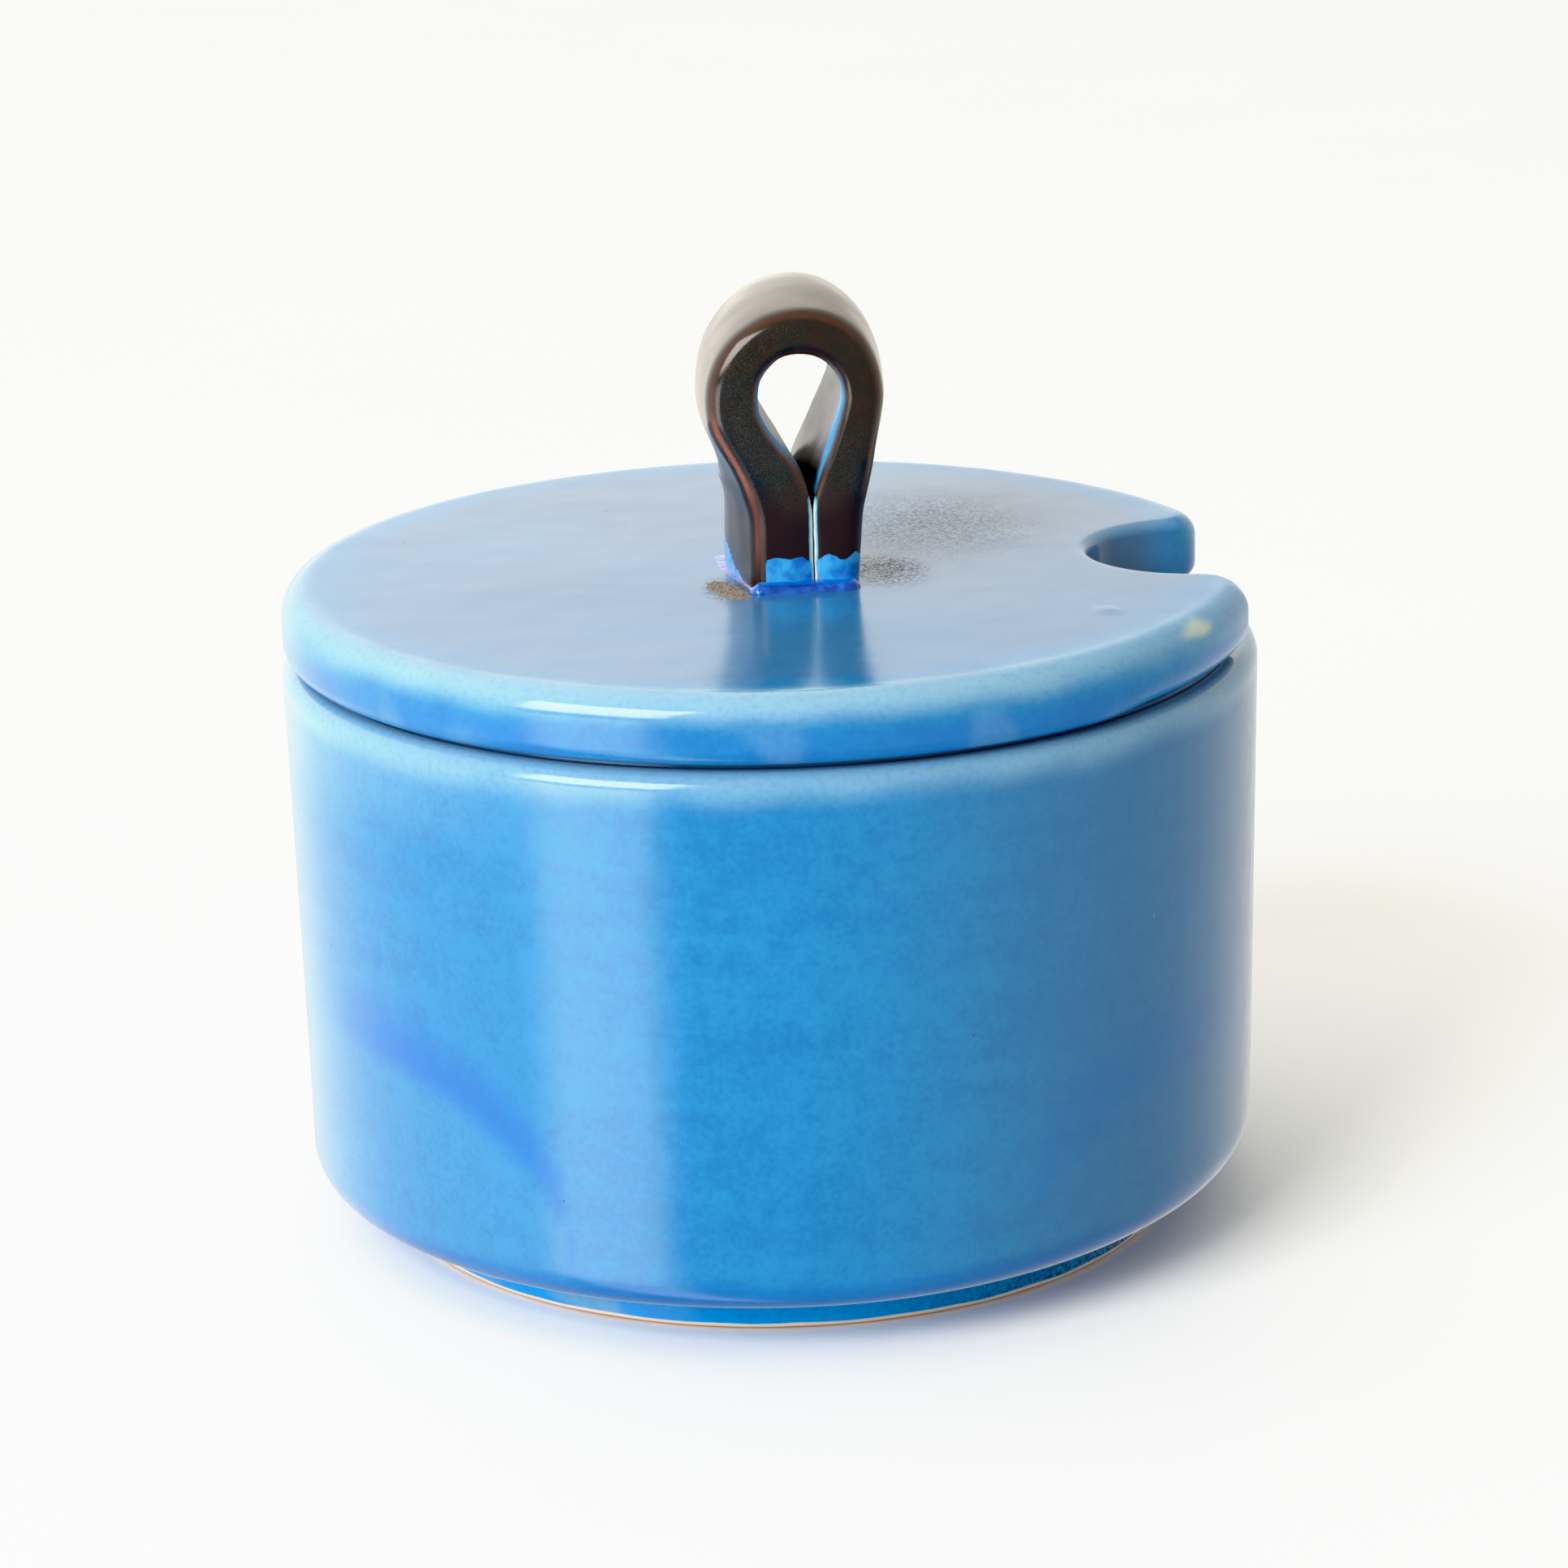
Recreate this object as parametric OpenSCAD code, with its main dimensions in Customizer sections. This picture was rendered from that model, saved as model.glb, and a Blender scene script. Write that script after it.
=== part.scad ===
// Lidded stoneware yarn bowl.
// A straight-sided thrown bowl on a turned foot ring carries a slab lid with a yarn notch in its edge
// and a strap of clay bent into a loop as its handle.
// Z is up. The origin is the centre of the foot on the table, and the notch points along +X.

/* [Bowl] */
// Outside diameter of the bowl at the rim
bowl_d = 130; // [115:1:150]
// How much the outside radius shrinks from the rim down to the bottom corner
bowl_taper = 1; // [0:0.25:2]
// Thickness of the wall
wall_t = 6; // [5:0.25:7]
// Thickness of the floor
floor_t = 7; // [5:0.5:10]
// Height of the face that the lid rests on, above the table
rim_h = 78.4; // [60:0.2:100]
// Radius of the rounded corner at the bottom of the wall
corner_r = 4.7; // [3:0.1:7]
// Radius of the rounded corner between the floor and the wall, inside
inner_corner_r = 6.5; // [4:0.5:14]
// Radius of the rim's rounded outer edge
rim_outer_r = 2.4; // [1.5:0.1:2.6]
// Radius of the rim's rounded inner edge
rim_inner_r = 1.4; // [0.8:0.1:1.6]

/* [Foot ring] */
// How far the foot ring is set in from the wall
foot_inset = 11; // [8:0.5:16]
// Height of the foot ring
foot_h = 6; // [4:0.25:9]
// Thickness of the foot ring, across its standing face and both rounded edges
foot_w = 6; // [4:0.5:9]
// Radius of the foot ring's rounded edges at the table
foot_edge_r = 1; // [0.5:0.1:1.5]

/* [Lid] */
// How far the lid's edge lies inside the rim's
lid_inset = 0.3; // [0:0.1:1.5]
// Thickness of the lid
lid_t = 9.2; // [7.5:0.1:12]
// Radius of the rounded edge around the lid's top
lid_top_edge_r = 3.6; // [2:0.1:4]
// Radius of the rounded edge around the lid's underside
lid_under_edge_r = 2.4; // [1.5:0.1:3]
// Thickness of the bare band on the rim's crown that the lid turns on
seat_t = 0.8; // [0.6:0.1:1.2]

/* [Yarn notch] */
// How far the notch reaches in from the lid's edge
notch_depth = 21.3; // [17:0.1:26]
// Radius of the notch's round inner end
notch_r = 14; // [10:0.5:16]
// Radius of the rounded corners where the notch opens through the lid's edge
mouth_r = 9; // [6:0.5:10]

/* [Locating ring] */
// Width of the ring under the lid
ring_w = 5.6; // [4:0.2:7]
// How far the ring reaches down into the bowl
ring_h = 6; // [4:0.5:9]
// Gap between the ring and the inside of the bowl's wall
ring_clearance = 1.4; // [1:0.1:2]
// Size of the bevels on the ring's lower edges
ring_bevel = 1.2; // [0.8:0.1:1.6]

/* [Handle] */
// Outside radius of the loop
loop_r = 11.9; // [10:0.1:13]
// Thickness of the strap around the loop
strap_t = 6; // [5:0.1:7]
// Width of the strap, along Y
strap_w = 20.4; // [16:0.2:26]
// Width of the two strap ends pressed together
legs_w = 14; // [12:0.2:16]
// Height of the loop's centre above the lid
loop_h = 26; // [23:0.2:30]
// How far the pointed bottom of the loop's hole lies below the loop's centre
hole_point = 13.6; // [10:0.2:16]
// Height above the lid at which the strap ends start to spread into the loop
neck_h = 3.4; // [1:0.2:8]
// Distance of the handle from the lid's centre towards the notch
handle_x = 3.2; // [-5:0.1:5]
// Distance of the handle from the lid's centre along Y
handle_y = -3.7; // [-5:0.1:5]
// Width of the coil of clay around the handle's base
coil_w = 2.4; // [1.5:0.1:4]
// Height of the coil of clay around the handle's base
coil_h = 2.6; // [1.5:0.1:4]

/* [Hidden] */
$fn = 120;
bowl_r = bowl_d / 2;
low_r = bowl_r - bowl_taper;
mouth_in_r = bowl_r - wall_t;
crown_z = rim_h - seat_t;
floor_z = foot_h + floor_t;
foot_r = low_r - foot_inset;
seat_in_r = mouth_in_r + rim_inner_r;
seat_out_r = bowl_r - rim_outer_r;
lid_r = bowl_r - lid_inset;
lid_z = rim_h + lid_t;
ring_r = mouth_in_r - ring_clearance;
hole_r = loop_r - strap_t;
coil_top_w = 0.5;
coil_corner_r = 2;
thin = 0.01;
past = 10;
arc_steps = 10;

// Points along an arc from angle a0 to angle a1, in degrees
function arc(x, y, r, a0, a1) =
    [for (i = [0:arc_steps]) let (a = a0 + (a1 - a0) * i / arc_steps) [x + r * cos(a), y + r * sin(a)]];

// The same outline mirrored across the X axis, in reverse order
function mirror_y(points) = [for (i = [len(points) - 1:-1:0]) [points[i].x, -points[i].y]];

// The same outline mirrored across the Y axis, in reverse order
function mirror_x(points) = [for (i = [len(points) - 1:-1:0]) [-points[i].x, points[i].y]];

// Thrown wall and floor, one turned profile from the floor's underside round the rim to the inside
module bowl() {
    outside = concat(
        arc(low_r - corner_r, foot_h + corner_r, corner_r, -90, 0),
        arc(bowl_r - rim_outer_r, crown_z - rim_outer_r, rim_outer_r, 0, 90)
    );
    inside = concat(
        arc(mouth_in_r + rim_inner_r, crown_z - rim_inner_r, rim_inner_r, 90, 180),
        arc(low_r - wall_t - inner_corner_r, floor_z + inner_corner_r, inner_corner_r, 0, -90)
    );
    color("steelblue")
        rotate_extrude()
            polygon(concat([[0, foot_h]], outside, inside, [[0, floor_z]]));
}

// Turned ring under the floor, set in from the wall, with its standing face on the table
module foot_ring() {
    in_r = foot_r - foot_w;
    color("royalblue")
        rotate_extrude()
            polygon(concat(
                [[in_r, foot_h]],
                arc(in_r + foot_edge_r, foot_edge_r, foot_edge_r, 180, 270),
                arc(foot_r - foot_edge_r, foot_edge_r, foot_edge_r, 270, 360),
                [[foot_r, foot_h]]
            ));
}

// Bare clay band on the rim's crown, free of glaze, where the lid beds and turns
module lid_seat() {
    color("wheat")
        translate([0, 0, crown_z])
            rotate_extrude()
                translate([seat_in_r, 0])
                    square([seat_out_r - seat_in_r, seat_t]);
}

// Outline of the notch: a round inner end that opens through two rounded corners
module notch_outline() {
    end_x = lid_r - notch_depth + notch_r;
    to_axis = lid_r - mouth_r;
    to_end = notch_r + mouth_r;
    corner_x = (to_axis * to_axis + end_x * end_x - to_end * to_end) / (2 * end_x);
    corner_y = sqrt(to_axis * to_axis - corner_x * corner_x);
    corner = arc(corner_x, corner_y, mouth_r, atan2(corner_y, corner_x), atan2(-corner_y, end_x - corner_x));
    half_end = arc(end_x, 0, notch_r, atan2(corner_y, corner_x - end_x), 180);
    side = concat([[lid_r + past, corner[0].y]], corner, half_end);
    polygon(concat(side, mirror_y(side)));
}

// The notch as a cut through the lid and the ring below it
module notch_cut() {
    translate([0, 0, rim_h - ring_h - past])
        linear_extrude(lid_t + ring_h + 2 * past)
            notch_outline();
}

// Flat slab lid with rounded edges, notched through to its edge
module lid() {
    edge = concat(
        arc(lid_r - lid_under_edge_r, rim_h + lid_under_edge_r, lid_under_edge_r, -90, 0),
        arc(lid_r - lid_top_edge_r, lid_z - lid_top_edge_r, lid_top_edge_r, 0, 90)
    );
    color("cornflowerblue")
        difference() {
            rotate_extrude()
                polygon(concat([[0, rim_h]], edge, [[0, lid_z]]));
            notch_cut();
        }
}

// Ring luted under the lid, which keeps it centred in the mouth and is cut away at the notch
module lid_locating_ring() {
    color("steelblue")
        difference() {
            translate([0, 0, rim_h - ring_h])
                rotate_extrude()
                    polygon([
                        [ring_r - ring_w + ring_bevel, 0],
                        [ring_r - ring_bevel, 0],
                        [ring_r, ring_bevel],
                        [ring_r, ring_h],
                        [ring_r - ring_w, ring_h],
                        [ring_r - ring_w, ring_bevel]
                    ]);
            notch_cut();
        }
}

// Outline of the bent strap from the side: a round loop on two ends pressed together
module strap_outline() {
    neck_y = neck_h - loop_h;
    neck_r = (neck_y * neck_y + legs_w * legs_w / 4 - loop_r * loop_r) / (2 * loop_r - legs_w);
    neck_x = legs_w / 2 + neck_r;
    neck_a = atan2(neck_y, neck_x);
    right = concat(
        [[legs_w / 2, -loop_h]],
        arc(neck_x, neck_y, neck_r, 180, 180 + neck_a),
        arc(0, 0, loop_r, neck_a, 90)
    );
    tangent_a = -asin(hole_r / hole_point);
    hole_right = concat([[0, -hole_point]], arc(0, 0, hole_r, tangent_a, 90));
    difference() {
        polygon(concat(right, mirror_x(right)));
        polygon(concat(hole_right, mirror_x(hole_right)));
    }
}

// Strap of clay bent over into an upside-down drop, standing on its two ends
module handle_loop() {
    color([0.16, 0.11, 0.09])
        translate([handle_x, handle_y + strap_w / 2, lid_z + loop_h])
            rotate([90, 0, 0])
                linear_extrude(strap_w)
                    strap_outline();
}

// Thin plate with rounded corners, centred, as one end of the coil's slope
module coil_plate(w) {
    linear_extrude(thin)
        offset(r = coil_corner_r, $fn = 32)
            square([legs_w + 2 * (w - coil_corner_r), strap_w + 2 * (w - coil_corner_r)], center = true);
}

// Coil of soft clay smoothed around the strap ends where they join the lid
module handle_base_coil() {
    color("mediumblue")
        translate([handle_x, handle_y, lid_z])
            difference() {
                hull() {
                    coil_plate(coil_w);
                    translate([0, 0, coil_h - thin])
                        coil_plate(coil_top_w);
                }
                translate([0, 0, coil_h / 2])
                    cube([legs_w, strap_w, coil_h + 2 * past], center = true);
            }
}

bowl();
foot_ring();
lid_seat();
lid();
lid_locating_ring();
handle_loop();
handle_base_coil();
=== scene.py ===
"""Lidded yarn bowl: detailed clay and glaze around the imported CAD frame.

Lengths are in metres, in the frame's axes: Z up, the origin under the foot, +X towards the notch.
"""

import math

import bpy
from mathutils import Matrix, Vector, noise
from mathutils.geometry import delaunay_2d_cdt


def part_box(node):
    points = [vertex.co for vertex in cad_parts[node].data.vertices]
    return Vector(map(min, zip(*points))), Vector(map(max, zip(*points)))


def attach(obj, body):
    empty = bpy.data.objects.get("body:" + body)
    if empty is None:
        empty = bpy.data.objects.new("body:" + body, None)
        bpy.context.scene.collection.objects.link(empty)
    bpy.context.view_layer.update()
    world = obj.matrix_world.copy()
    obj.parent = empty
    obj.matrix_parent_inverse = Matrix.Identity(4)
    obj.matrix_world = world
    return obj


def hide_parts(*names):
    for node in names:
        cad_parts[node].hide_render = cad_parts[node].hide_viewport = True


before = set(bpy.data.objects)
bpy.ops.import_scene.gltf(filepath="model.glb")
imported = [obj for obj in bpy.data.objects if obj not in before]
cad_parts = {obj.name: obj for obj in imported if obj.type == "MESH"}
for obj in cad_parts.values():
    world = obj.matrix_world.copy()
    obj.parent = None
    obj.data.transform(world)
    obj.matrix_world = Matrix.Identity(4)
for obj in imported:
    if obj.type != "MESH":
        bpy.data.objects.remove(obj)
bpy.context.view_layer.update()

MM = 0.001

# -------- sizes from the frame

bowl_low, bowl_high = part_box("bowl")
foot_low, foot_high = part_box("foot_ring")
seat_low, seat_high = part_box("lid_seat")
lid_low, lid_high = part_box("lid")
ring_low, ring_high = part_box("lid_locating_ring")
handle_low, handle_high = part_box("handle_loop")

BOWL_R = (bowl_high.y - bowl_low.y) / 2
BOWL_BOTTOM = bowl_low.z
CROWN = bowl_high.z
FOOT_R = (foot_high.y - foot_low.y) / 2
SEAT_R = (seat_high.y - seat_low.y) / 2
LID_R = (lid_high.y - lid_low.y) / 2
LID_BOTTOM = lid_low.z
LID_TOP = lid_high.z
RING_R = (ring_high.y - ring_low.y) / 2
RING_TOP = ring_high.z
RING_BOTTOM = ring_low.z

# -------- sizes of the clay forms

# The bowl: its wall and floor, how far the wall leans in on its way down, and the radii of its corners.
# The outer corner at the bottom is softer by CORNER_SOFTER at the front right.
WALL = 6.0 * MM
FLOOR = 7.0 * MM
TAPER = 1.0 * MM
CORNER_R = 4.7 * MM
CORNER_SOFTER = 2.2 * MM
INNER_CORNER_R = 6.5 * MM
RIM_OUTER_R = 2.4 * MM
RIM_INNER_R = 1.4 * MM
FOOT_W = 6.0 * MM
FOOT_EDGE_R = 0.9 * MM

# The lid: the radii of its edges, the notch's circle and the rounding of the notch's mouth.
LID_TOP_EDGE_R = 3.6 * MM
LID_UNDER_EDGE_R = 2.3 * MM
NOTCH_TOP_EDGE_R = 1.7 * MM
NOTCH_UNDER_EDGE_R = 1.2 * MM
NOTCH_R = 14.0 * MM
NOTCH_X = LID_R - 21.3 * MM + NOTCH_R
MOUTH_R = 6.5 * MM
HORN_ROUNDING = 1.6 * MM
# How far in from the lid's edge its rows of points end and its grid begins.
EDGE_SETTLE = 5.0 * MM
ROUND_STEPS = 320

# The locating ring: its width, and where it is cut to each side of the notch, in degrees.
RING_W = 5.6 * MM
RING_CUT = 17.5
RING_STEPS = 150


# -------- small maths

def smooth(low, high, value):
    """0 at low, 1 at high, with an S-shaped rise between them; low may be above high."""
    t = min(max((value - low) / (high - low), 0.0), 1.0)
    return t * t * (3 - 2 * t)


def arc(x, y, radius, start, end, steps):
    """Points along an arc from start to end, in degrees."""
    turn = math.radians(end - start)
    angles = [math.radians(start) + turn * i / steps for i in range(steps + 1)]
    return [(x + radius * math.cos(a), y + radius * math.sin(a)) for a in angles]


def line(start, end, steps):
    """Points from start up to but not including end."""
    return [
        tuple(a + (b - a) * i / steps for a, b in zip(start, end)) for i in range(steps)
    ]


def wander(x, y, z, size, seed=0.0):
    """Smooth noise from -1 to 1 whose features are about size across."""
    return noise.noise(Vector((x / size + seed, y / size - seed, z / size + 2 * seed)))


def angle_gap(a, b):
    """Signed difference of two angles in degrees, from -180 to 180."""
    return (a - b + 180) % 360 - 180


# -------- mesh building

def new_object(name, data):
    """An object of this data, linked to the scene."""
    made = bpy.data.objects.new(name, data)
    bpy.context.scene.collection.objects.link(made)
    return made


def store(piece, name, values):
    """Stores one value from 0 to 1 for every point as an attribute that the glaze reads."""
    layer = piece.data.attributes.new(name, "FLOAT", "POINT")
    layer.data.foreach_set("value", values)


def make_piece(name, solid, material, body, slot, replaced=(), **masks):
    """A smooth mesh object that rides on a body and stands for the CAD nodes in replaced.

    solid is its points and faces. Each mask(x, y, z) is stored on it under the mask's name.
    """
    points, faces = solid
    mesh = bpy.data.meshes.new(name)
    mesh.from_pydata(points, [], faces)
    mesh.validate()
    mesh.shade_smooth()
    mesh.materials.append(material)
    piece = new_object(name, mesh)
    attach(piece, body)
    if replaced:
        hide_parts(*replaced)
    for mask_name, mask in masks.items():
        store(piece, mask_name, [mask(*v.co) for v in mesh.vertices])
    return piece


def turned(radius, height, angle):
    """The point at this radius and height, turned about Z by an angle in radians."""
    return radius * math.cos(angle), radius * math.sin(angle), height


def numbered(rows):
    """All the rows' points in one list, and the rows as ranges of point numbers."""
    points, numbers = [], []
    for row in rows:
        numbers.append(range(len(points), len(points) + len(row)))
        points += row
    return points, numbers


def strip_faces(first, second):
    """Quads between two closed rows of point numbers of equal length."""
    count = len(first)
    return [(first[i], first[(i + 1) % count], second[(i + 1) % count], second[i]) for i in range(count)]


def join_rows(rows):
    """Quads between each row of point numbers and the next."""
    return [face for pair in zip(rows, rows[1:]) for face in strip_faces(*pair)]


def fan_faces(row, centre):
    """Triangles from a closed row of point numbers to one point."""
    count = len(row)
    return [(row[i], row[(i + 1) % count], centre) for i in range(count)]


def flipped(faces):
    """The same faces seen from the other side."""
    return [tuple(reversed(face)) for face in faces]


def lathe_solid(profile_at, steps):
    """Points and faces of a solid turned about Z.

    profile_at(degrees) runs from the axis below to the axis above.
    """
    profiles = [profile_at(360 * i / steps) for i in range(steps)]
    first = profiles[0]
    rings = [[(0.0, 0.0, first[0][1]), (0.0, 0.0, first[-1][1])]]
    for k in range(1, len(first) - 1):
        rings.append([turned(*profile[k], 2 * math.pi * i / steps) for i, profile in enumerate(profiles)])
    points, rows = numbered(rings)
    return points, flipped(fan_faces(rows[1], 0)) + join_rows(rows[1:]) + fan_faces(rows[-1], 1)


def lathe_ring(profile_at, steps):
    """Points and faces of a ring turned about Z from a closed profile that doesn't reach the axis."""
    sections = []
    for i in range(steps):
        sections.append([turned(*point, 2 * math.pi * i / steps) for point in profile_at(360 * i / steps)])
    points, rows = numbered(sections)
    return points, flipped(join_rows(rows + rows[:1]))


def sweep_solid(sections):
    """Points and faces of a solid through closed sections, with both ends closed by a fan."""
    points, rows = numbered(sections)
    faces = join_rows(rows)
    for row, flip in ((rows[0], True), (rows[-1], False)):
        centre = sum((Vector(points[n]) for n in row), Vector()) / len(row)
        points.append(tuple(centre))
        fan = fan_faces(row, len(points) - 1)
        faces += flipped(fan) if flip else fan
    return points, faces


# -------- glazes

def srgb(red, green, blue):
    """A screen colour from 0 to 255 as a linear RGBA colour."""
    def linear(c):
        c /= 255
        return c / 12.92 if c <= 0.04045 else ((c + 0.055) / 1.055) ** 2.4
    return (linear(red), linear(green), linear(blue), 1.0)


class Nodes:
    """Short calls that build a node tree. Values are sockets, numbers or colours."""

    def __init__(self, tree):
        self.nodes, self.links = tree.nodes, tree.links

    def feed(self, value, socket):
        if isinstance(value, bpy.types.NodeSocket):
            self.links.new(value, socket)
        else:
            socket.default_value = value

    def add(self, kind, inputs, **settings):
        """A new node with these settings, and with these values fed to its inputs."""
        node = self.nodes.new(kind)
        for name, value in settings.items():
            setattr(node, name, value)
        for name, value in inputs.items():
            self.feed(value, node.inputs[name])
        return node

    def math(self, operation, *values):
        return self.add("ShaderNodeMath", dict(enumerate(values)), operation=operation).outputs[0]

    def times(self, first, second):
        return self.math("MULTIPLY", first, second)

    def plus(self, *values):
        total = values[0]
        for value in values[1:]:
            total = self.math("ADD", total, value)
        return total

    def span(self, value, low, high, to_low=0.0, to_high=1.0):
        """Maps low..high to to_low..to_high with an S-shaped rise."""
        values = {"Value": value, "From Min": low, "From Max": high, "To Min": to_low, "To Max": to_high}
        return self.add("ShaderNodeMapRange", values, interpolation_type="SMOOTHSTEP").outputs["Result"]

    def mix(self, factor, first, second):
        values = {"Factor": factor, "A": first, "B": second}
        return self.add("ShaderNodeMix", values, data_type="RGBA").outputs["Result"]


class Glaze(Nodes):
    """A material of one shader, with patterns in the mesh's own coordinates."""

    def __init__(self, name, ior=1.5, specular=0.5):
        self.material = bpy.data.materials.new(name)
        self.material.use_nodes = True
        super().__init__(self.material.node_tree)
        self.nodes.clear()
        self.shader = self.add("ShaderNodeBsdfPrincipled", {"IOR": ior, "Specular IOR Level": specular})
        self.add("ShaderNodeOutputMaterial", {"Surface": self.shader.outputs["BSDF"]})
        self.place = self.nodes.new("ShaderNodeTexCoord").outputs["Object"]

    def noise(self, size, detail=3.0, roughness=0.55, stretch=(1, 1, 1)):
        """Noise from 0 to 1 with features about size across, longer by stretch along each axis."""
        mapping = self.add("ShaderNodeMapping", {"Vector": self.place, "Scale": [1 / s for s in stretch]})
        values = {"Vector": mapping.outputs[0], "Scale": 1 / size, "Detail": detail, "Roughness": roughness}
        return self.add("ShaderNodeTexNoise", values).outputs["Fac"]

    def specks(self, size, spread):
        """1 inside small round dots that are about size across, on a grid of cells of that spread."""
        cells = self.add("ShaderNodeTexVoronoi", {"Vector": self.place, "Scale": 1 / spread})
        return self.span(cells.outputs["Distance"], size / spread, 0.4 * size / spread)

    def mask(self, name):
        """A mask that is stored on the mesh."""
        return self.add("ShaderNodeAttribute", {}, attribute_name=name).outputs["Fac"]

    def finish(self, colour, roughness, height=None, depth=0.1 * MM):
        """Feeds the shader. A height of 1 raises the surface by depth."""
        self.feed(colour, self.shader.inputs["Base Color"])
        self.feed(roughness, self.shader.inputs["Roughness"])
        if height is not None:
            bump = self.add("ShaderNodeBump", {"Strength": 1.0, "Distance": depth, "Height": height})
            self.links.new(bump.outputs["Normal"], self.shader.inputs["Normal"])
        return self.material


CERULEAN = srgb(20, 125, 180)
CERULEAN_DEEP = srgb(9, 110, 168)
# Painted light: the foot's blues are lighter than the body's, standing in for light bounced off the table
# under the overhang.
FOOT_BLUE_PAINTED_LIGHT = srgb(6, 154, 224)
FOOT_BLUE_DEEP_PAINTED_LIGHT = srgb(2, 136, 212)
AZURE = srgb(4, 96, 178)
PALE_CYAN = srgb(128, 172, 198)
# Lilac cast, also used as painted shade on the bowl's side away from the softbox.
LILAC_HAZE_AND_SHADE = srgb(60, 106, 150)
YELLOWED = srgb(196, 206, 176)
PINHOLE = srgb(40, 60, 74)
BARE_CLAY = srgb(232, 220, 200)
TOASTED_CLAY = srgb(206, 142, 88)
# Kiln dust, also used as painted shade on the foot's right.
KILN_DUST_AND_SHADE = srgb(46, 40, 56)
COBALT_POOL = srgb(4, 56, 146)
# Painted shade for the gap under the lid's edge.
SEAM_SHADE = srgb(16, 66, 112)
LAVENDER = srgb(84, 106, 176)
# Painted reflection of the bright room on the strap's top.
SHEEN_GREY = srgb(98, 90, 86)
IRON_BLACK = srgb(20, 18, 15)
IRON_BROWN = srgb(34, 20, 14)
IRON_RED = srgb(40, 22, 18)
RUST_EDGE = srgb(92, 56, 36)
COPPER = srgb(156, 96, 76)
OLIVE_FLECK = srgb(74, 78, 54)
TEAL_FLECK = srgb(56, 92, 100)
# Painted reflection in pale grey on the opening's inner sides.
INNER_SHEEN_GREY = srgb(118, 116, 126)
BRIGHT_BLUE = srgb(62, 168, 224)
DEEP_BLUE = srgb(22, 104, 196)
SEAM_CYAN = srgb(110, 176, 204)
SEAM_CREAM = srgb(218, 226, 214)
SCAB_DARK = srgb(84, 74, 68)
SCAB_TAN = srgb(166, 152, 134)
TABLE_DIM = srgb(246, 246, 246)
TABLE_PALE = srgb(249, 249, 249)


def blue_glaze(name, roughness=0.18, shine=0.5, deep=CERULEAN_DEEP, light=CERULEAN):
    """Cerulean glaze with a fine grain.

    It reads from the mesh the masks for thin glaze, pooled glaze, a lilac cast that also carries painted
    shade, a yellowed spot, kiln dust that also carries painted shade, and bare clay.
    """
    g = Glaze(name, specular=shine)
    mottle = g.noise(3.2 * MM, roughness=0.5)
    brushed = g.noise(4.0 * MM, detail=2, stretch=(6, 6, 0.8))
    grain = g.noise(0.8 * MM, detail=2)
    patterns = ((g.noise(30 * MM), 0.25), (mottle, 0.27), (brushed, 0.2), (grain, 0.28))
    depth = g.plus(*(g.times(pattern, share) for pattern, share in patterns))
    colour = g.mix(g.span(depth, 0.37, 0.63), deep, light)
    # The lilac cast, which on the bowl's side away from the softbox is painted shade.
    colour = g.mix(g.mask("haze"), colour, LILAC_HAZE_AND_SHADE)
    colour = g.mix(g.mask("pool"), colour, AZURE)
    colour = g.mix(g.times(g.mask("thin"), g.span(grain, 0.2, 0.6, 0.8, 1.0)), colour, PALE_CYAN)
    colour = g.mix(g.times(g.mask("spot"), 0.9), colour, YELLOWED)
    pits = g.specks(0.22 * MM, 8.5 * MM)
    colour = g.mix(g.times(pits, 0.7), colour, PINHOLE)
    # Kiln dust, which on the foot's right is painted shade.
    dusted = g.times(g.mask("dust"), g.span(g.noise(0.45 * MM, detail=2), 0.42, 0.6, 0.2, 1.0))
    colour = g.mix(dusted, colour, KILN_DUST_AND_SHADE)
    bare = g.mask("bare")
    colour = g.mix(g.span(bare, 0.15, 0.35), colour, BARE_CLAY)
    colour = g.mix(g.span(bare, 0.75, 0.95), colour, TOASTED_CLAY)
    matte = g.plus(g.times(bare, 0.5), g.times(dusted, 0.5), g.times(g.mask("thin"), -0.07))
    rough = g.plus(g.span(mottle, 0.2, 0.8, roughness - 0.02, roughness + 0.03), matte)
    blisters = g.specks(0.5 * MM, 17.0 * MM)
    relief = ((g.noise(9 * MM, detail=1), 0.8), (grain, 0.03), (pits, -0.4), (blisters, 0.5))
    height = g.plus(*(g.times(pattern, share) for pattern, share in relief))
    return g.finish(colour, rough, height)


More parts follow.
